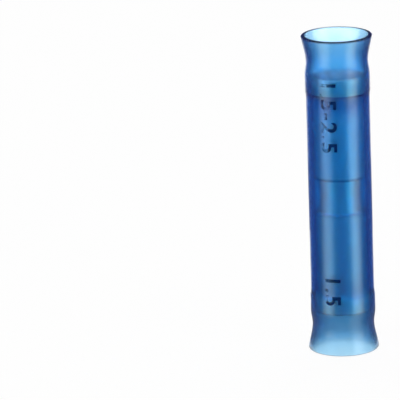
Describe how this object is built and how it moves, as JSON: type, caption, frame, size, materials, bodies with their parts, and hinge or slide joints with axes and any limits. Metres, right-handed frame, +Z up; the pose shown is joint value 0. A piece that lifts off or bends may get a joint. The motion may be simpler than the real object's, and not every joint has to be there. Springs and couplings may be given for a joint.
{
  "type": "butt splice connector",
  "caption": "Crimp splice that joins two wires end to end: a translucent blue nylon tube with flared mouths over a tinned barrel and belled insulation grips.",
  "frame": {"origin": "centre of the lower mouth's rim, on the tube's axis", "axes": "+Z up along the tube's axis from the lower mouth to the upper mouth"},
  "size_m": [0.007, 0.007, 0.032],
  "materials": {
    "nylon": "clear blue nylon, glossy with a little haze",
    "grip_metal": "satin tin plate on thin drawn sheet",
    "barrel_metal": "bright tin plate on drawn copper"
  },
  "bodies": {
    "root": {"insulating_sleeve": "nylon", "upper_grip_sleeve": "grip_metal", "lower_grip_sleeve": "grip_metal", "crimp_barrel": "barrel_metal"}
  },
  "joints": []
}
